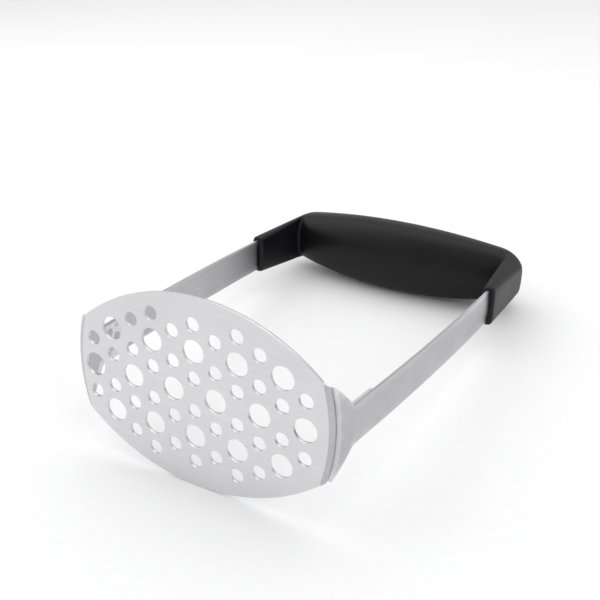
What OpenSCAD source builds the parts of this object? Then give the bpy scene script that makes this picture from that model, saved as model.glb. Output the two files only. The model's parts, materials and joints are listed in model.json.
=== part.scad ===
// Potato masher: a perforated steel plate on two steel arms, under a wide moulded handle.
// It lies on its side: X runs along the plate and the handle, Y from the plate to the handle, Z up.
// Each piece is drawn in the tool's own frame (X along the plate, Y = depth behind the mashing face,
// Z across the plate) and then laid down, so that the plate's edge and the handle touch the ground.

/* [Plate] */
// Length of the plate between its folded ends, outside to outside
plate_len = 108.2; // [90:0.2:130]
// Width of the plate at its middle
plate_wid = 75.2; // [68:0.2:90]
// Height that the curve of the long edges has come down to at the plate's full length
end_height = 30.6; // [26:0.2:40]
// Radius of the folded ends, seen from the front
end_r = 66; // [40:1:120]
// Thickness of the plate's sheet
plate_t = 1.2; // [0.8:0.1:2]
// Inside radius of the folds
fold_r = 0.6; // [0.4:0.1:2]
// Reach of the folded tongues behind the mashing face
tongue_reach = 26; // [20:0.5:34]
// How far a tongue stays inside the edge of the foot that covers it
tongue_inset = 0.2; // [0.1:0.1:1.5]

/* [Holes] */
// Spacing of the large holes along the plate
hole_pitch = 18; // [15:0.1:22]
// Spacing of the rows of large holes across the plate
row_pitch = 16.8; // [14:0.1:21]
// Diameter of the large holes
big_d = 9.1; // [6:0.1:11]
// Diameter of the small holes
small_d = 5.6; // [3:0.1:6.5]
// Distance of the small holes from the middle row and from the outermost rows
small_off_even = 6.45; // [5:0.05:8]
// Distance of the small holes from the second row on each side
small_off_odd = 5.85; // [5:0.05:8]
// How far the middle of the hole pattern sits off the middle of the plate
pattern_shift = -1.3; // [-1.5:0.1:0]
// Least metal between a hole and the plate's outline
hole_margin = 1; // [0.8:0.1:1.4]

/* [Arms] */
// Width of an arm
arm_w = 15; // [11:0.1:18]
// Thickness of an arm
arm_t = 1.2; // [0.8:0.1:2]
// Distance from the mashing face to the sleeves of the handle
arm_reach = 133; // [100:1:170]
// How far each arm spreads outward between its foot and the handle
arm_spread = 5.2; // [2:0.1:9]
// Fillet where the flared foot meets the arm
foot_fillet = 2.5; // [1:0.1:4]
// How far the front edge of the foot stays behind the mashing face
foot_setback = 2; // [0.5:0.1:3]
// Gap between the foot and the tongue it is lapped over
lap_gap = 0.05; // [0.02:0.01:0.1]

/* [Spot welds] */
// Diameter of a weld
weld_d = 4; // [3:0.1:5]
// Depth of the dimple that the electrode leaves
weld_dimple = 0.3; // [0.1:0.05:0.5]
// Distance of the first weld behind the mashing face
weld_1_depth = 17; // [14:0.5:18]
// Height of the first weld above the middle of the arm
weld_1_rise = 4; // [2:0.1:4.5]
// Distance of the second weld behind the mashing face
weld_2_depth = 21.5; // [19:0.5:22]
// Height of the second weld above the middle of the arm
weld_2_rise = 1; // [-2:0.1:2]

/* [Tangs] */
// Length of the arm's tang inside the handle
tang_len = 36; // [30:1:40]
// How much the tang is narrower than the arm, on each side
tang_step = 2; // [1:0.1:3]
// Diameter of the tang pins
pin_d = 3; // [2:0.1:4]
// Length of the tang pins
pin_len = 4; // [3:0.1:5]
// How far the pins stand out of the tang's outer face
pin_stand = 0.4; // [0.2:0.1:0.5]
// Distance of the first pin behind the mouth of the sleeve
pin_1_reach = 17; // [14:0.5:20]
// Distance between the two pins of a tang
pin_gap = 11; // [8:0.5:13]

/* [Handle] */
// Thickness of each sleeve, along the plate's length
sleeve_t = 6; // [5:0.1:9]
// Thickness of each sleeve where it joins the bar
root_t = 8; // [6:0.1:12]
// Rubber above and below the arm at the mouth of a sleeve
sleeve_rim = 1.5; // [1:0.1:3]
// Material of the sleeve outside the arm
sleeve_wall = 2.1; // [2:0.1:4]
// Height of the bar at its middle
bar_h = 34.6; // [28:0.2:44]
// Depth of the bar at its middle
bar_depth = 27; // [24:0.5:34]
// How much lower the bar's half height is at the sleeves
bar_taper_h = 4.5; // [2:0.1:7]
// How much the bar's front falls back at the sleeves
bar_taper_front = 7; // [3:0.1:8]
// Distance from the mouth of the sleeve to the back of the bar
handle_depth = 51.5; // [46:0.5:60]
// Radius of the handle's back corners, seen from above
corner_r = 12; // [8:0.5:14]
// Share of the bar's height left at the flat outer ends
end_share = 0.6; // [0.4:0.05:0.8]
// How square the bar's cross-section is: 2 is an ellipse
fullness = 2.3; // [2:0.1:3.5]
// Small chamfer round the mouth of each sleeve
mouth_chamfer = 0.7; // [0.3:0.1:1.2]
// Thickness of the soft skin
skin_t = 1.3; // [1:0.1:1.3]

/* [Core] */
// How far the rigid core stays behind the mouth of the sleeve
core_setback = 3; // [2:0.5:6]
// Gap between the core and the skin moulded over it
skin_fit = 0.05; // [0.02:0.01:0.1]
// Clearance round the arm and its tang
slot_fit = 0.1; // [0.05:0.01:0.2]
// Clearance round the tang pins and the screws
pin_fit = 0.05; // [0.02:0.01:0.1]
// Distance between neighbouring core screws
screw_pitch = 36; // [30:1:42]
// Diameter of the core screws
screw_d = 3; // [2.5:0.1:4]
// Diameter of the screw heads
screw_head_d = 5.6; // [5:0.1:8]
// Height of the screw heads
screw_head_h = 2.2; // [1.5:0.1:3]
// Depth of the seat of the screw heads under the top of the bar's middle
screw_seat = 8.3; // [7:0.1:10]
// Wall between the core's pockets and its outside, at the ends of a pocket
pocket_wall = 4; // [3:0.1:6]

/* [Hidden] */

steel = "#c4c5ca";
weld_steel = "#dcdde0";
core_black = "#3a3b3f";
grip_black = "#1f1f22";
screw_zinc = "#a9acb0";

eps = 0.01;
$fn = 96;

// Plate: the long edges are two circles whose centres lie on the Z axis.
half_len = plate_len / 2;
half_wid = plate_wid / 2;
edge_drop = half_wid - end_height / 2;
edge_r = (half_len * half_len + edge_drop * edge_drop) / (2 * edge_drop);
edge_centre = edge_r - half_wid;
end_centre = half_len - end_r;
fold_out = fold_r + plate_t;

// Arms: each follows an arc that is parallel to Y where it enters the handle.
arm_half = arm_w / 2;
tang_half = arm_half - tang_step;
arm_inner_foot = half_len + lap_gap;
arm_inner = arm_inner_foot + arm_spread;
bow_angle = 2 * atan(arm_spread / arm_reach);
bow_r = arm_reach / sin(bow_angle);
foot_sweep = bow_angle + 1;
tang_sweep = asin((tang_len + arm_w) / bow_r);

// The fold's outer face meets the tongue, which leans outward with the arm.
fold_end_r = end_r + fold_out * tan(bow_angle);
fold_start_r = fold_end_r - fold_out;

// The corner of the flat, where the circle of a fold's start crosses the circle of a long edge.
corner_gap = norm([end_centre, edge_centre]);
corner_along = (edge_r * edge_r - fold_start_r * fold_start_r + corner_gap * corner_gap)
    / (2 * corner_gap);
corner_aside = sqrt(edge_r * edge_r - corner_along * corner_along);
corner_x = (corner_along * end_centre + corner_aside * edge_centre) / corner_gap;

// Handle
handle_half = arm_inner + arm_t + sleeve_wall;
sleeve_h = arm_w + 2 * sleeve_rim;
back_y = arm_reach + handle_depth;
front_y = back_y - bar_depth;
shoulder = handle_half - corner_r;
slice_t = 0.02;
// The sleeves blend into the bar this far under its surface.
join_inset = 0.04;
inner_inset = skin_t + skin_fit;
bar_axis_y = back_y - bar_depth / 2;

// Laying down: the rear edge of the plate and the underside of the bar touch the ground.
span_y = bar_axis_y - plate_t;
half_bar = bar_h / 2;
half_depth = bar_depth / 2;
lay_a = span_y * span_y - half_depth * half_depth;
lay_b = half_wid * span_y;
lay_c = half_wid * half_wid - half_bar * half_bar;
lay_angle = atan((lay_b - sqrt(lay_b * lay_b - lay_a * lay_c)) / lay_a);
rest_z = plate_t * sin(lay_angle) + half_wid * cos(lay_angle);
low_y = -half_wid * sin(lay_angle);
high_y = bar_axis_y * cos(lay_angle)
    + norm([half_depth * cos(lay_angle), half_bar * sin(lay_angle)]);
rest_y = -(low_y + high_y) / 2;

// ---------- frames ----------

module laid() {
    translate([0, rest_y, rest_z])
        rotate([-lay_angle, 0, 0])
            children();
}

// Draws a flat outline in the plane of the plate and thickens it backward from depth y.
module from_front(y, h) {
    translate([0, y + h, 0])
        rotate([90, 0, 0])
            linear_extrude(h)
                children();
}

// Draws a flat outline seen from the side (depth, height) and extends it from x to x + w.
module from_side(x, w) {
    translate([x, 0, 0])
        rotate([90, 0, 90])
            linear_extrude(w)
                children();
}

module both_sides() {
    children();
    mirror([1, 0, 0])
        children();
}

// ---------- plate ----------

// The lens that the two long edges make, drawn inset by a margin.
module lens(inset) {
    intersection() {
        translate([0, -edge_centre])
            circle(edge_r - inset, $fn = 240);
        translate([0, edge_centre])
            circle(edge_r - inset, $fn = 240);
    }
}

function in_lens(x, z, r) =
    norm([x, abs(z) + edge_centre]) + r + hole_margin <= edge_r;
function in_ends(x, z, r) =
    norm([abs(x) - end_centre, z]) + r + hole_margin + fold_out <= end_r;
function fits_plate(x, z, r) = in_lens(x, z, r) && in_ends(x, z, r);

row_count = floor(plate_wid / row_pitch / 2) + 1;
col_count = floor(plate_len / hole_pitch / 2) + 1;

// Large holes stand in staggered rows. Above and below the gap between two of them is a small hole.
module hole_pattern() {
    for (row = [-row_count : row_count], col = [-col_count : col_count]) {
        odd = abs(row) % 2;
        z = row * row_pitch;
        big_x = (col + (1 - odd) / 2) * hole_pitch + pattern_shift;
        small_x = big_x + hole_pitch / 2;
        small_off = odd == 1 ? small_off_odd : small_off_even;
        if (fits_plate(big_x, z, big_d / 2))
            translate([big_x, z])
                circle(d = big_d, $fn = 48);
        for (side = [-1, 1])
            if (fits_plate(small_x, z + side * small_off, small_d / 2))
                translate([small_x, z + side * small_off])
                    circle(d = small_d, $fn = 40);
    }
}

// ---------- arms and tongues ----------

// Side view of a foot: the plate's outline carried on past its corner, then the straight arm.
module foot_outline(inset, front, reach) {
    strip_half = arm_half - inset;
    fillet_z = strip_half + foot_fillet;
    arc_r = edge_r - inset;
    fillet_y = sqrt(pow(arc_r + foot_fillet, 2) - pow(fillet_z + edge_centre, 2)) - corner_x;
    touch = arc_r / (arc_r + foot_fillet);
    touch_y = (fillet_y + corner_x) * touch - corner_x;
    touch_z = (fillet_z + edge_centre) * touch - edge_centre;
    intersection() {
        translate([-corner_x, 0])
            lens(inset);
        translate([front, -half_wid])
            square([half_len, plate_wid]);
    }
    translate([front, -strip_half])
        square([reach - front, 2 * strip_half]);
    fillet_turn = atan2(-fillet_z - edge_centre, -fillet_y - corner_x);
    for (side = [0, 1])
        mirror([0, side])
            polygon(concat(
                [[touch_y - 1, strip_half / 2], [touch_y - 1, touch_z - 0.5]],
                [
                    for (i = [1 : 8])
                        let (turn = fillet_turn - (fillet_turn + 90) * i / 8)
                            [fillet_y, fillet_z] + foot_fillet * [cos(turn), sin(turn)]
                ],
                [[fillet_y, strip_half / 2]]
            ));
}

// A crowned band that bows outward: its inner face is off behind or in front of the arm's own.
module bowed_band(off, t) {
    crown_r = end_r + off;
    translate([arm_inner - bow_r, arm_reach, 0])
        rotate([0, 0, -foot_sweep])
            rotate_extrude(angle = foot_sweep + tang_sweep, $fn = 720)
                crown_section(bow_r - end_r, crown_r, t, half_wid * 0.7);
}

// Cross-section of a crowned band: a ring round (x, 0), kept to a half width.
module crown_section(x, r, t, half) {
    intersection() {
        translate([x, 0])
            difference() {
                circle(r + t, $fn = 240);
                circle(r, $fn = 240);
            }
        translate([x + r / 2, -half])
            square([r, 2 * half]);
    }
}

// Side view of a tang, from a distance in front of the mouth of the sleeve.
module tang_outline(half, front, len) {
    translate([arm_reach - front, -half])
        square([front + len, 2 * half]);
}

// Distance from the middle to the inner face of an arm at a depth.
function arm_x(depth) = arm_inner - bow_r + bow_r * cos(asin((arm_reach - depth) / bow_r));

module weld_at(depth, rise) {
    lean = asin((arm_reach - depth) / bow_r);
    x = arm_x(depth) - (end_r - sqrt(end_r * end_r - rise * rise));
    translate([x, depth, rise])
        rotate([0, 0, -lean])
            rotate([0, asin(rise / end_r) * -1, 0])
                children();
}

module weld_nuggets() {
    for (spot = [[weld_1_depth, weld_1_rise], [weld_2_depth, weld_2_rise]])
        weld_at(spot[0], spot[1])
            translate([-plate_t - lap_gap, 0, 0])
                rotate([0, 90, 0])
                    children();
}

nugget_len = plate_t + lap_gap + arm_t / 2;

module nugget_cuts() {
    weld_nuggets()
        translate([0, 0, -arm_t])
            cylinder(d = weld_d, h = nugget_len + arm_t);
}

module nuggets() {
    dimple_r = (weld_d * weld_d / 4 + weld_dimple * weld_dimple) / (2 * weld_dimple);
    weld_nuggets()
        difference() {
            cylinder(d = weld_d, h = nugget_len);
            translate([0, 0, weld_dimple - dimple_r])
                sphere(dimple_r, $fn = 96);
        }
}

module arm_solid() {
    difference() {
        intersection() {
            bowed_band(0, arm_t);
            union() {
                from_side(half_len / 2, half_len)
                    foot_outline(0, foot_setback, arm_reach);
                from_side(half_len / 2, half_len)
                    tang_outline(tang_half, arm_w, tang_len);
            }
        }
        nugget_cuts();
        pin_places()
            cylinder(d = pin_d + 2 * pin_fit, h = 4 * arm_t + pin_len, center = true);
    }
}

// Middles of the two tang pins, axis along X. They reach further inward than outward.
module pin_places() {
    for (reach = [pin_1_reach, pin_1_reach + pin_gap])
        translate([arm_x(arm_reach + reach) + arm_t + pin_stand - pin_len / 2, arm_reach + reach, 0])
            rotate([0, 90, 0])
                children();
}

// The fold: a quarter ring swept along the plate's end, cut to the plate's outline.
module fold() {
    intersection() {
        translate([end_centre, 0, 0])
            rotate([-90, 0, 0])
                rotate([0, 0, -45])
                    rotate_extrude(angle = 90, $fn = 360)
                        fold_section();
        from_side(half_len / 2, half_len)
            foot_outline(tongue_inset, 0, tongue_reach);
    }
}

module fold_section() {
    intersection() {
        translate([fold_end_r - fold_out, fold_out])
            difference() {
                circle(fold_out, $fn = 64);
                circle(fold_r, $fn = 64);
            }
        translate([fold_end_r - fold_out - eps, 0])
            square([fold_out + 2 * eps, fold_out + eps]);
    }
}

module tongue() {
    difference() {
        intersection() {
            bowed_band(-plate_t - lap_gap, plate_t);
            from_side(half_len / 2, half_len)
                intersection() {
                    foot_outline(tongue_inset, 0, tongue_reach);
                    translate([fold_out - eps, -half_wid])
                        square([tongue_reach, plate_wid]);
                }
        }
        nugget_cuts();
    }
}

// The flat of the plate ends where the folds start.
module plate_outline() {
    difference() {
        intersection() {
            lens(0);
            translate([end_centre, 0])
                circle(fold_start_r, $fn = 240);
            translate([-end_centre, 0])
                circle(fold_start_r, $fn = 240);
        }
        hole_pattern();
    }
}

// ---------- handle ----------

// A closed outline between an ellipse (n = 2) and a rectangle, half sizes a and b.
function oval(a, b, n, steps) = [
    for (i = [0 : steps - 1])
        let (c = cos(360 * i / steps), s = sin(360 * i / steps))
            [a * sign(c) * pow(abs(c), 2 / n), b * sign(s) * pow(abs(s), 2 / n)]
];

// Share of a taper reached at distance x from the middle: a circle's sagitta, 1 at the shoulder.
function taper(x) = (x * x) / (shoulder * shoulder);
function past_shoulder(x) = min(1, max(0, abs(x) - shoulder) / corner_r);
function bar_half_h(x) = (bar_h / 2 - bar_taper_h * taper(x))
    * sqrt(1 - (1 - end_share * end_share) * pow(past_shoulder(x), 2));
function bar_front(x) = front_y + bar_taper_front * taper(x);
function bar_back(x) = back_y - corner_r * (1 - sqrt(1 - pow(past_shoulder(x), 2)));

// One slice of the bar, x from its middle, drawn inset from the handle's surface.
module bar_slice(x, inset) {
    outer_x = x * handle_half / (handle_half - inset);
    front = bar_front(outer_x) + inset;
    back = bar_back(outer_x) - inset;
    translate([x, (front + back) / 2, 0])
        rotate([90, 0, 90])
            linear_extrude(slice_t, center = true)
                polygon(oval((back - front) / 2, bar_half_h(outer_x) - inset, fullness, 32));
}

module sleeve_slice(y, inset) {
    translate([handle_half - sleeve_t / 2, y, 0])
        rotate([-90, 0, 0])
            linear_extrude(slice_t)
                polygon(oval(sleeve_t / 2 - inset, sleeve_h / 2 - inset, 5, 32));
}

// The whole handle, inset from its surface: the bar and the two sleeves that it turns into.
module handle_form(inset, setback) {
    half = handle_half - inset;
    root = handle_half - root_t + inset;
    hull()
        for (turn = [-90 : 12 : 90])
            bar_slice(half * sin(turn), inset);
    both_sides()
        hull() {
            sleeve_slice(arm_reach + setback, inset + mouth_chamfer);
            sleeve_slice(arm_reach + setback + mouth_chamfer, inset);
            for (turn = [0 : 22.5 : 90])
                bar_slice(root + (half - root - 2 * join_inset) * sin(turn), inset + join_inset);
        }
}

// Slots for both tangs, with clearance all round and open to the front.
module tang_slots() {
    both_sides()
        intersection() {
            bowed_band(-slot_fit, arm_t + 2 * slot_fit);
            from_side(half_len / 2, half_len)
                tang_outline(tang_half + slot_fit, arm_t, tang_len + slot_fit);
        }
}

module pin_cuts() {
    both_sides()
        pin_places()
            cylinder(d = pin_d + 2 * pin_fit, h = pin_len + 2 * pin_fit, center = true);
}

// Screws stand on the bar's middle line, heads up, half above and half below the core's split.
screw_top = bar_h / 2 - screw_seat;
screw_len = 2 * screw_top;

module screw_places() {
    for (i = [-1 : 1])
        translate([i * screw_pitch, bar_axis_y + screw_shift(i), 0])
            children();
}

function screw_shift(i) = (bar_front(i * screw_pitch) - front_y) / 2;

module screw_cuts(shank_clear) {
    screw_places() {
        translate([0, 0, screw_top])
            cylinder(d = screw_head_d + 4 * pin_fit, h = bar_h);
        translate([0, 0, -screw_top - pin_fit])
            cylinder(d = screw_d + 2 * shank_clear, h = screw_len + 2 * pin_fit);
    }
}

// Pockets between the screws keep the moulded walls even.
module pockets() {
    pocket_len = screw_pitch - screw_head_d - 2 * pocket_wall;
    pocket_depth = bar_depth - bar_taper_front - 2 * (skin_t + pocket_wall);
    pocket_h = bar_h / 2 - bar_taper_h - skin_t - pocket_wall;
    for (i = [-1, 1])
        translate([i * screw_pitch / 2, bar_axis_y + screw_shift(1) / 2, 0])
            cube([pocket_len, pocket_depth, 2 * pocket_h], center = true);
}

module core_half(side) {
    difference() {
        handle_form(inner_inset, core_setback);
        translate([-handle_half, 0, side > 0 ? -bar_h : 0])
            cube([2 * handle_half, 2 * back_y, bar_h]);
        tang_slots();
        pin_cuts();
        screw_cuts(pin_fit);
        pockets();
    }
}

// ---------- pieces ----------

module mashing_plate() {
    color(steel)
        laid() {
            from_front(0, plate_t)
                plate_outline();
            both_sides() {
                fold();
                tongue();
            }
        }
}

module right_arm() {
    color(steel)
        laid()
            arm_solid();
}

module left_arm() {
    color(steel)
        laid()
            mirror([1, 0, 0])
                arm_solid();
}

module right_spot_welds() {
    color(weld_steel)
        laid()
            nuggets();
}

module left_spot_welds() {
    color(weld_steel)
        laid()
            mirror([1, 0, 0])
                nuggets();
}

module core_top_half() {
    color(core_black)
        laid()
            core_half(1);
}

module core_bottom_half() {
    color(core_black)
        laid()
            core_half(-1);
}

module core_screws() {
    color(screw_zinc)
        laid()
            screw_places()
                core_screw();
}

module core_screw() {
    slot_w = screw_head_d / 6;
    difference() {
        union() {
            translate([0, 0, screw_top])
                cylinder(d = screw_head_d, h = screw_head_h);
            translate([0, 0, -screw_top])
                cylinder(d = screw_d, h = screw_len + eps);
        }
        for (turn = [0, 90])
            rotate([0, 0, turn])
                translate([-screw_head_d / 3, -slot_w / 2, screw_top + screw_head_h / 2])
                    cube([screw_head_d * 2 / 3, slot_w, screw_head_h]);
    }
}

module right_tang_pins() {
    color(screw_zinc)
        laid()
            pin_places()
                cylinder(d = pin_d, h = pin_len, center = true);
}

module left_tang_pins() {
    color(screw_zinc)
        laid()
            mirror([1, 0, 0])
                pin_places()
                    cylinder(d = pin_d, h = pin_len, center = true);
}

module soft_grip() {
    color(grip_black)
        laid()
            difference() {
                handle_form(0, 0);
                handle_form(skin_t, core_setback);
                tang_slots();
            }
}

mashing_plate();
left_arm();
right_arm();
left_spot_welds();
right_spot_welds();
core_top_half();
core_bottom_half();
core_screws();
left_tang_pins();
right_tang_pins();
soft_grip();
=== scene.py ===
# %% [markdown]
# # A potato masher, from a CAD frame to a finished picture
# The tool is a perforated steel plate on two steel arms, held by a wide grip with a soft skin.
# The CAD model already has the right sizes, so this lesson never moves it. It adds what CAD leaves
# out: the small roundings that catch light, the brushed grain of the steel, and the soft black skin.

# %% Load the frame
import json
import math

import bmesh
import bpy
from mathutils import Matrix, Vector


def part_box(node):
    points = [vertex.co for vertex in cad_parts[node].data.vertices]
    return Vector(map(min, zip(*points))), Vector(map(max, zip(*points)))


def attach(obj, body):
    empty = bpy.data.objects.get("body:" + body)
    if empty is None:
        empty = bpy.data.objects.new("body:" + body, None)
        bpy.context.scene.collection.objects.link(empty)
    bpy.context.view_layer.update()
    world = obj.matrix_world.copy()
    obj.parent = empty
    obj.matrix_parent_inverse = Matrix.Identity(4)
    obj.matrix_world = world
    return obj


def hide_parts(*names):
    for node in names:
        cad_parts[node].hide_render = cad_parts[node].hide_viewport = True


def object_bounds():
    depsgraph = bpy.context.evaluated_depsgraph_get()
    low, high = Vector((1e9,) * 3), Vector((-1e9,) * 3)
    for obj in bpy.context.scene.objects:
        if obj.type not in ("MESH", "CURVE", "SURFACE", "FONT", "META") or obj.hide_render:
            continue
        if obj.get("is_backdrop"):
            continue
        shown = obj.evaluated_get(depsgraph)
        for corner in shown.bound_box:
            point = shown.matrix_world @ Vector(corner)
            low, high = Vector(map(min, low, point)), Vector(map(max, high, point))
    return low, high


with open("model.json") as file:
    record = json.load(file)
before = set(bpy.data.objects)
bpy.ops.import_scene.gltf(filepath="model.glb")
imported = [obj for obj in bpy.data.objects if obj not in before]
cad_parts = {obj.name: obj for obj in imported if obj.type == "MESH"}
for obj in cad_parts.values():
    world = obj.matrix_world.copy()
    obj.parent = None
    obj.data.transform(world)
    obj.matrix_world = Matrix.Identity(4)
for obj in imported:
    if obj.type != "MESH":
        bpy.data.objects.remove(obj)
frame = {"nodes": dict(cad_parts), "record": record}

low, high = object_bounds()
print("CAD box in mm:", [round(1000 * (h - l), 1) for l, h in zip(low, high)])

# %% [markdown]
# ## Two helpers
# Blender works in metres, and a kitchen tool is easier to think about in millimetres, so one
# constant turns one into the other. Colours are picked as they look on a screen (sRGB hex), while
# shaders want linear values, so every colour goes through one function.

# %% Helpers for sizes and colours
MM = 0.001


def linear(hex_code):
    """An sRGB hex colour as the linear RGBA that shaders expect."""
    shares = [int(hex_code[i : i + 2], 16) / 255 for i in (1, 3, 5)]
    curve = [s / 12.92 if s <= 0.04045 else ((s + 0.055) / 1.055) ** 2.4 for s in shares]
    return (*curve, 1.0)


print("mid grey in linear light:", [round(v, 3) for v in linear("#808080")[:3]])

# %% [markdown]
# ## The viewpoint
# The tool lies on its side and the viewer looks down at it from the front right, so that the plate
# is near and the grip is far. A 54 mm lens on a 36 mm sensor keeps the perspective natural for a
# small object seen from about 40 cm. Depth of field stays off, so that every piece is sharp.

# %% Camera
camera_data = bpy.data.cameras.new("studio_camera")
camera_data.lens = 54
camera_data.sensor_width = 36
camera_data.clip_start = 0.01
camera = bpy.data.objects.new("studio_camera", camera_data)
bpy.context.scene.collection.objects.link(camera)
camera.location = (0.16658, -0.29341, 0.21776)
camera.rotation_euler = [math.radians(a) for a in (61.140, 2.039, 29.928)]
bpy.context.scene.camera = camera
print("camera stands", round(camera.location.length, 3), "m from the middle of the floor")

# %% [markdown]
# ## The floor
# A plain pale floor shows the shadow and lets the steel mirror something bright. It is one large
# face just at the height on which the tool rests, and it is marked as stage, not as part of the tool.

# %% Floor
floor_mesh = bpy.data.meshes.new("floor")
FLOOR_REACH = 6.0
signs = ((-1, -1), (1, -1), (1, 1), (-1, 1))
floor_mesh.from_pydata(
    [(FLOOR_REACH * x, FLOOR_REACH * y, 0) for x, y in signs],
    [],
    [(0, 1, 2, 3)],
)
floor = bpy.data.objects.new("floor", floor_mesh)
bpy.context.scene.collection.objects.link(floor)
floor.location.z = low.z - 0.02 * MM
floor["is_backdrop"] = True
print("floor at", round(floor.location.z / MM, 2), "mm")

# %% [markdown]
# ## Studio light
# Satin steel has almost no colour of its own: it shows what stands around it. So the light comes
# from big soft panels rather than from small lamps. One stands on the left, one hangs
# above and behind, one lights the right, and the world is a bright even grey that fills the rest.

# %% World and panels
world = bpy.data.worlds.new("studio")
bpy.context.scene.world = world
world.use_nodes = True
backdrop = world.node_tree.nodes["Background"]
backdrop.inputs["Color"].default_value = linear("#f5f5f6")
backdrop.inputs["Strength"].default_value = 0.8
bpy.context.scene.view_settings.view_transform = "Standard"


def panel(name, place, aim, width, height, watts):
    """A rectangular soft light at place that faces the point aim."""
    data = bpy.data.lights.new(name, "AREA")
    data.shape = "RECTANGLE"
    data.size = width
    data.size_y = height
    data.energy = watts
    light = bpy.data.objects.new(name, data)
    bpy.context.scene.collection.objects.link(light)
    light.location = place
    light.rotation_euler = (Vector(aim) - Vector(place)).to_track_quat("-Z", "Y").to_euler()
    return light


middle = (0, 0, 0.03)
panel("left_panel", (-0.7, -0.1, 0.6), middle, 0.8, 0.6, 1.4)
panel("top_panel", (-0.1, 0.3, 0.9), middle, 1.2, 0.8, 3.0)
panel("right_panel", (0.8, -0.3, 0.5), middle, 0.5, 0.6, 1.4)

# %% [markdown]
# ## Building materials from nodes
# A finish is a small network of nodes. To keep such a network readable, one function adds any kind
# of node: it sets what the node needs, and links the outputs that feed it. A name that is an
# attribute of the node is set on it, and any other name or number is one of its sockets.

# %% One function that adds a node
def add(tree, kind, settings=None, links=None):
    """A new node in tree, with its settings and the sockets that feed it."""
    made = tree.nodes.new(kind)
    for name, value in (settings or {}).items():
        if isinstance(name, str) and hasattr(made, name):
            setattr(made, name, value)
        else:
            made.inputs[name].default_value = value
    for name, source in (links or {}).items():
        tree.links.new(source, made.inputs[name])
    return made


def empty_material(name):
    """A material with nothing in it, and its node tree."""
    made = bpy.data.materials.new(name)
    made.use_nodes = True
    made.node_tree.nodes.clear()
    return made, made.node_tree


def stretched(tree, grain_mm):
    """Object coordinates divided by the size of the grain along X, Y and Z, in millimetres."""
    coordinates = add(tree, "ShaderNodeTexCoord")
    scale = [1 / (size * MM) for size in grain_mm]
    mapping = add(
        tree,
        "ShaderNodeMapping",
        {"Scale": scale},
        {"Vector": coordinates.outputs["Object"]},
    )
    return mapping.outputs["Vector"]


print("node helper ready")


# %% [markdown]
# ## Brushed stainless steel
# The plate and the arms are 18/10 stainless sheet. A belt of grit drags fine parallel scratches over
# it, which spread the reflection into a soft sheen. Real scratches are about 0.05 mm wide, too
# fine for this picture, so they are drawn 0.3 mm wide and faint. Three patterns are layered: the
# scratches, broad cloudy differences in polish, and a brighter line on sharp edges that is partly wear
# and partly a painted highlight.

# %% Steel finish
def brushed_steel(name, pale, dark, stroke_mm, roughness, streak_depth_mm):
    """Stainless sheet whose scratches have the size stroke_mm along X, Y and Z."""
    material, tree = empty_material(name)
    strokes = add(
        tree,
        "ShaderNodeTexNoise",
        {"Scale": 1.0, "Detail": 3.0, "Roughness": 0.6},
        {"Vector": stretched(tree, stroke_mm)},
    )
    clouds = add(
        tree,
        "ShaderNodeTexNoise",
        {"Scale": 1.0, "Detail": 4.0, "Roughness": 0.55},
        {"Vector": stretched(tree, (26, 26, 26))},
    )
    streak_tone = add(
        tree,
        "ShaderNodeMapRange",
        {"From Min": 0.3, "From Max": 0.7, "To Min": 0.0, "To Max": 0.6},
        {"Value": strokes.outputs["Fac"]},
    )
    cloud_tone = add(
        tree,
        "ShaderNodeMapRange",
        {"From Min": 0.3, "From Max": 0.7, "To Min": 0.0, "To Max": 0.4},
        {"Value": clouds.outputs["Fac"]},
    )
    tone = add(
        tree,
        "ShaderNodeMath",
        {"operation": "ADD", "use_clamp": True},
        {0: streak_tone.outputs["Result"], 1: cloud_tone.outputs["Result"]},
    )
    metal = add(
        tree,
        "ShaderNodeMix",
        {"data_type": "RGBA", 6: linear(dark), 7: linear(pale)},
        {0: tone.outputs["Value"]},
    )
    # Painted highlight, partly wear: convex edges (high pointiness) are mixed towards near-white
    # #f4f4f6.
    geometry = add(tree, "ShaderNodeNewGeometry")
    edge = add(
        tree,
        "ShaderNodeMapRange",
        {"From Min": 0.52, "From Max": 0.62, "To Min": 0.0, "To Max": 0.5},
        {"Value": geometry.outputs["Pointiness"]},
    )
    wear_and_edge_highlight = add(
        tree,
        "ShaderNodeMix",
        {"data_type": "RGBA", 7: linear("#f4f4f6")},
        {0: edge.outputs["Result"], 6: metal.outputs[2]},
    )
    polish = add(
        tree,
        "ShaderNodeMapRange",
        {"From Min": 0.0, "From Max": 1.0, "To Min": roughness + 0.07, "To Max": roughness - 0.05},
        {"Value": tone.outputs["Value"]},
    )
    scratches = add(
        tree,
        "ShaderNodeBump",
        {"Strength": 0.35, "Distance": streak_depth_mm * MM},
        {"Height": strokes.outputs["Fac"]},
    )
    shader = add(
        tree,
        "ShaderNodeBsdfPrincipled",
        {"Metallic": 1.0, "Anisotropic": 0.35},
        {
            "Base Color": wear_and_edge_highlight.outputs[2],
            "Roughness": polish.outputs["Result"],
            "Normal": scratches.outputs["Normal"],
        },
    )
    add(tree, "ShaderNodeOutputMaterial", {}, {"Surface": shader.outputs["BSDF"]})
    return material


plate_steel = brushed_steel(
    "brushed_stainless_plate", "#c8c7c9", "#aeadb0", (30, 0.5, 0.35), 0.34, 0.006
)
arm_steel = brushed_steel(
    "brushed_stainless_arm", "#c3c2c5", "#adacb0", (0.35, 34, 0.35), 0.3, 0.006
)
weld_steel = brushed_steel(
    "pressed_weld_steel", "#bdbdc2", "#a3a2a8", (1.2, 1.2, 1.2), 0.42, 0.01
)
print("steels:", [m.name for m in (plate_steel, arm_steel, weld_steel)])


# %% [markdown]
# ## The plastics and the small steel inside
# The grip's skin is a black thermoplastic elastomer moulded over a hard core. Its tool was
# blasted with fine grit, so the rubber has a low grain that turns a lamp's reflection into a wide,
# soft one. The core is glass-filled nylon, and its screws and pins are zinc-plated steel.

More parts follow.
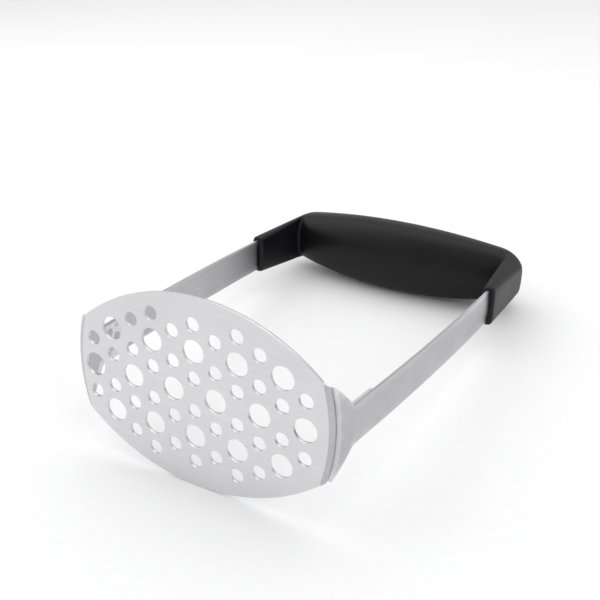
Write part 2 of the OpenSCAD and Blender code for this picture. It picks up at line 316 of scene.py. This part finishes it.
# %% Soft skin, hard core, zinc
def moulded(name, pale, dark, grain_mm, grain_depth_mm, roughness, ior):
    """A moulded polymer with a blasted grain, and a faint bloom where hands have rubbed it."""
    material, tree = empty_material(name)
    grain = add(
        tree,
        "ShaderNodeTexNoise",
        {"Scale": 1.0, "Detail": 2.0, "Roughness": 0.5},
        {"Vector": stretched(tree, (grain_mm,) * 3)},
    )
    bloom = add(
        tree,
        "ShaderNodeTexNoise",
        {"Scale": 1.0, "Detail": 5.0, "Roughness": 0.6},
        {"Vector": stretched(tree, (22, 22, 22))},
    )
    rubbed = add(
        tree,
        "ShaderNodeMapRange",
        {"From Min": 0.35, "From Max": 0.7, "To Min": 0.0, "To Max": 1.0},
        {"Value": bloom.outputs["Fac"]},
    )
    colour = add(
        tree,
        "ShaderNodeMix",
        {"data_type": "RGBA", 6: linear(dark), 7: linear(pale)},
        {0: rubbed.outputs["Result"]},
    )
    dull = add(
        tree,
        "ShaderNodeMapRange",
        {"To Min": roughness - 0.04, "To Max": roughness + 0.06},
        {"Value": rubbed.outputs["Result"]},
    )
    bump = add(
        tree,
        "ShaderNodeBump",
        {"Strength": 0.5, "Distance": grain_depth_mm * MM},
        {"Height": grain.outputs["Fac"]},
    )
    shader = add(
        tree,
        "ShaderNodeBsdfPrincipled",
        {"IOR": ior, "Specular IOR Level": 0.25},
        {
            "Base Color": colour.outputs[2],
            "Roughness": dull.outputs["Result"],
            "Normal": bump.outputs["Normal"],
        },
    )
    add(tree, "ShaderNodeOutputMaterial", {}, {"Surface": shader.outputs["BSDF"]})
    return material


skin_rubber = moulded("soft_touch_elastomer", "#101013", "#0a0a0c", 0.5, 0.02, 0.4, 1.5)
core_nylon = moulded("glass_filled_nylon", "#3c3d41", "#2f3034", 0.8, 0.03, 0.5, 1.53)
zinc = brushed_steel("zinc_plated_steel", "#c4c8cc", "#a9adb3", (0.8, 0.8, 0.8), 0.38, 0.004)
print("polymers:", skin_rubber.name, "and", core_nylon.name)

# %% Floor finish
paper, paper_tree = empty_material("matt_white_paper")
fibres = add(
    paper_tree,
    "ShaderNodeTexNoise",
    {"Scale": 1.0, "Detail": 4.0},
    {"Vector": stretched(paper_tree, (3, 3, 3))},
)
paper_colour = add(
    paper_tree,
    "ShaderNodeMix",
    {"data_type": "RGBA", 6: linear("#f6f6f6"), 7: linear("#fbfbfb")},
    {0: fibres.outputs["Fac"]},
)
paper_shader = add(
    paper_tree,
    "ShaderNodeBsdfPrincipled",
    {"Roughness": 0.9, "IOR": 1.45},
    {"Base Color": paper_colour.outputs[2]},
)
add(paper_tree, "ShaderNodeOutputMaterial", {}, {"Surface": paper_shader.outputs["BSDF"]})
floor_mesh.materials.append(paper)
print("floor is", paper.name)


# %% [markdown]
# ## Dressing the steel pieces
# A CAD edge is infinitely sharp, and a real one never is: punching, shearing and tumbling leave it
# slightly round, and that rounding is what draws a thin bright line round every hole. A Bevel
# modifier makes it on the plate. The mesh comes in with its faces unstitched, so a Weld modifier
# joins them first, and hardened normals keep the flats flat. The arms' broad faces are crowned and
# would shade falsely beside a bevel, so the arms and the small pieces keep their CAD edges.

# %% Rounded edges and finishes for the CAD pieces
def dress(node, material, edge_mm=0.0, sharp_degrees=35):
    """Gives a CAD piece its finish and, where asked, edges of that radius."""
    piece = frame["nodes"][node]
    piece.data.materials.clear()
    piece.data.materials.append(material)
    if edge_mm > 0:
        weld = piece.modifiers.new("stitch", "WELD")
        weld.merge_threshold = 0.001 * MM
        bevel = piece.modifiers.new("edge", "BEVEL")
        bevel.width = edge_mm * MM
        bevel.segments = 2
        bevel.limit_method = "ANGLE"
        bevel.angle_limit = math.radians(sharp_degrees)
        bevel.harden_normals = True
    return piece


dress("mashing_plate", plate_steel, 0.22)
dress("right_arm", arm_steel)
dress("left_arm", arm_steel)
for weld_node in ("left_spot_welds", "right_spot_welds"):
    dress(weld_node, weld_steel)
for core_node in ("core_top_half", "core_bottom_half"):
    dress(core_node, core_nylon)
for hidden_metal in ("core_screws", "left_tang_pins", "right_tang_pins"):
    dress(hidden_metal, zinc)
print("dressed:", len(frame["nodes"]) - 1, "pieces")

# %% [markdown]
# ## The grip
# The skin is one flowing form: a barrel that is fat in the middle, and two legs that come forward
# to take the arms. A sculptor could model it by hand, but rings of points are quicker and exact:
# each ring is a squared oval, and a convex hull stretches a smooth sheet over a row of them.
# The rings are drawn in the tool's own directions, along the plate, back from the mashing face and
# across the plate, and the record's mount says where those lie.

# %% The tool's own directions
mount = frame["record"]["mounts"][0]
face_point = Vector(mount["pos_m"])
backward = -Vector(mount["axis"]).normalized()
sideways = Vector((1, 0, 0))
upward = sideways.cross(backward)
tool_place = Matrix.Translation(face_point) @ Matrix((sideways, backward, upward)).transposed().to_4x4()
print("the tool leans back by", round(math.degrees(math.asin(-backward.z)), 2), "degrees")

# %% Sizes of the grip, in millimetres
grip_low, grip_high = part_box("soft_grip")
HALF_LENGTH = (grip_high.x - grip_low.x) / 2 / MM
MOUTH = 133.0
BACK = MOUTH + 51.5
FRONT = BACK - 27.0
HALF_HEIGHT = 17.3
HEIGHT_TAPER = 4.5
FRONT_TAPER = 7.0
CORNER = 12.0
END_SHARE = 0.6
LEG_THICKNESS = 6.0
ROOT_THICKNESS = 8.0
LEG_HALF_HEIGHT = 9.0
MOUTH_CHAMFER = 0.7
SKIN = 1.3
CORE_SETBACK = 3.0
SLOT_CLEARANCE = 0.1
SLOT_REACH_OUT = 2.0
SLOT_REACH_IN = 1.0
SKIN_VOXEL = 0.55
SKIN_ROUNDS = 9
HOLLOW_VOXEL = 0.9
HOLLOW_ROUNDS = 3

# How square the ovals are (2 is an ellipse), and how far apart the rings stand, in degrees of a
# turn that crowds them towards the ends, where the form bends most.
BAR_SQUARENESS = 2.3
LEG_SQUARENESS = 5
BAR_STEP = 2
LEG_STEP = 10
SHOULDER = HALF_LENGTH - CORNER
print("grip is", round(2 * HALF_LENGTH, 1), "mm long")


# %% Rings and the sheet over them
def squared_oval(half_a, half_b, power, count=96):
    """Points round an oval: power 2 is an ellipse, and a higher one is squarer."""
    ring = []
    for step in range(count):
        turn = 2 * math.pi * step / count
        across, along = math.cos(turn), math.sin(turn)
        ring.append(
            (
                half_a * math.copysign(abs(across) ** (2 / power), across),
                half_b * math.copysign(abs(along) ** (2 / power), along),
            )
        )
    return ring


def bar_ring(x, inset):
    """One ring of the bar, at x millimetres from the middle."""
    outer_x = x * HALF_LENGTH / (HALF_LENGTH - inset)
    taper = (outer_x / SHOULDER) ** 2
    past = min(1.0, max(0.0, abs(outer_x) - SHOULDER) / CORNER)
    half_height = (HALF_HEIGHT - HEIGHT_TAPER * taper) * math.sqrt(
        1 - (1 - END_SHARE**2) * past**2
    )
    front = FRONT + FRONT_TAPER * taper + inset
    back = BACK - CORNER * (1 - math.sqrt(1 - past**2)) - inset
    ring = squared_oval((back - front) / 2, half_height - inset, BAR_SQUARENESS)
    return [(x, (front + back) / 2 + a, b) for a, b in ring]


def leg_ring(depth, inset, side):
    """One ring of a leg, at a depth behind the mashing face."""
    half_thickness = LEG_THICKNESS / 2
    ring = squared_oval(half_thickness - inset, LEG_HALF_HEIGHT - inset, LEG_SQUARENESS)
    return [(side * (HALF_LENGTH - half_thickness + a), depth, b) for a, b in ring]


def sheet_over(rings):
    """A closed convex mesh stretched over rings of points in millimetres, laid in the tool's place."""
    form = bmesh.new()
    for ring in rings:
        for point in ring:
            form.verts.new(tool_place @ (Vector(point) * MM))
    bmesh.ops.convex_hull(form, input=form.verts)
    loose = [v for v in form.verts if not v.link_faces]
    bmesh.ops.delete(form, geom=loose, context="VERTS")
    mesh = bpy.data.meshes.new("hull")
    form.to_mesh(mesh)
    form.free()
    return mesh


def new_object(name, mesh):
    made = bpy.data.objects.new(name, mesh)
    bpy.context.scene.collection.objects.link(made)
    return made


print("a mouth ring has", len(leg_ring(MOUTH, 0, 1)), "points")

# %% [markdown]
# ## One skin from three hulls
# The bar and the legs are three separate hulls that overlap. A voxel remesh turns them into one
# even skin, and a few rounds of smoothing melt the creases where a leg meets the bar, as the
# rounded tool of a moulding press would.

# %% Merge, melt and bake
def baked(piece):
    """Replaces a piece's mesh by what its modifiers make of it."""
    graph = bpy.context.evaluated_depsgraph_get()
    mesh = bpy.data.meshes.new_from_object(piece.evaluated_get(graph))
    piece.modifiers.clear()
    old, piece.data = piece.data, mesh
    bpy.data.meshes.remove(old)
    return piece


def grip_form(name, inset, setback, voxel_mm, rounds):
    """The whole grip, inset from its surface, with its legs cut short by a setback."""
    half = HALF_LENGTH - inset
    turns = [math.radians(-90 + BAR_STEP * step) for step in range(180 // BAR_STEP + 1)]
    hulls = [sheet_over([bar_ring(half * math.sin(t), inset) for t in turns])]
    root = HALF_LENGTH - ROOT_THICKNESS + inset
    for side in (-1, 1):
        rings = [leg_ring(MOUTH + setback, inset + MOUTH_CHAMFER, side)]
        rings.append(leg_ring(MOUTH + setback + MOUTH_CHAMFER, inset, side))
        for step in range(90 // LEG_STEP + 1):
            x = root + (half - root) * math.sin(math.radians(LEG_STEP * step))
            rings.append(bar_ring(side * x, inset))
        hulls.append(sheet_over(rings))
    joined = bmesh.new()
    for mesh in hulls:
        joined.from_mesh(mesh)
        bpy.data.meshes.remove(mesh)
    whole = bpy.data.meshes.new(name)
    joined.to_mesh(whole)
    joined.free()
    piece = new_object(name, whole)
    remesh = piece.modifiers.new("one_skin", "REMESH")
    remesh.mode = "VOXEL"
    remesh.voxel_size = voxel_mm * MM
    melt = piece.modifiers.new("melt", "SMOOTH")
    melt.factor = 0.5
    melt.iterations = rounds
    return baked(piece)


grip = grip_form("soft_grip_skin", 0.0, 0.0, SKIN_VOXEL, SKIN_ROUNDS)
hollow = grip_form("hollow", SKIN, CORE_SETBACK, HOLLOW_VOXEL, HOLLOW_ROUNDS)
print("grip skin:", len(grip.data.polygons), "faces; hollow:", len(hollow.data.polygons))

# %% [markdown]
# ## Hollow it and open its mouths
# The skin is only 1.3 mm thick over the hard core, and each steel tang passes through a slot in its
# leg. Boolean cuts take both away: first the hollow, then a flat slot that is a hair wider than the
# steel. The slot's place comes from the arms themselves.

# %% Cut the hollow and the slots
def cut_away(piece, tool):
    """Subtracts one closed mesh from another and removes the cutter."""
    cut = piece.modifiers.new("cut", "BOOLEAN")
    cut.operation = "DIFFERENCE"
    cut.solver = "EXACT"
    cut.object = tool
    baked(piece)
    bpy.data.objects.remove(tool)


def slot_cutter(node, side):
    """A flat block round the tang of an arm, reaching out in front of the mouth."""
    arm = [tool_place.inverted() @ v.co / MM for v in frame["nodes"][node].data.vertices]
    tang = [point for point in arm if point.y > MOUTH + 1]
    xs, zs = [p.x for p in tang], [p.z for p in tang]
    lows = (min(xs) - SLOT_CLEARANCE, MOUTH - SLOT_REACH_OUT, min(zs) - SLOT_CLEARANCE)
    deepest = MOUTH + CORE_SETBACK + SLOT_REACH_IN
    highs = (max(xs) + SLOT_CLEARANCE, deepest, max(zs) + SLOT_CLEARANCE)
    block = bmesh.new()
    bmesh.ops.create_cube(block, size=1.0)
    for vert in block.verts:
        share = vert.co + Vector((0.5, 0.5, 0.5))
        corner = [low + (high - low) * s for low, high, s in zip(lows, highs, share)]
        vert.co = tool_place @ (Vector(corner) * MM)
    mesh = bpy.data.meshes.new("slot")
    block.to_mesh(mesh)
    block.free()
    return new_object("slot_" + side, mesh)


cut_away(grip, hollow)
cut_away(grip, slot_cutter("left_arm", "left"))
cut_away(grip, slot_cutter("right_arm", "right"))
for face in grip.data.polygons:
    face.use_smooth = True
grip.data.set_sharp_from_angle(angle=math.radians(50))
grip.data.materials.clear()
grip.data.materials.append(skin_rubber)
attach(grip, "root")
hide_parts("soft_grip")
print("finished skin:", len(grip.data.polygons), "faces")

# %% Measure and finish
frame["nodes"]["soft_grip"].data.materials.clear()
frame["nodes"]["soft_grip"].data.materials.append(skin_rubber)

low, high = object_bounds()
print("visual box in mm:", [round(1000 * (h - l), 1) for l, h in zip(low, high)])
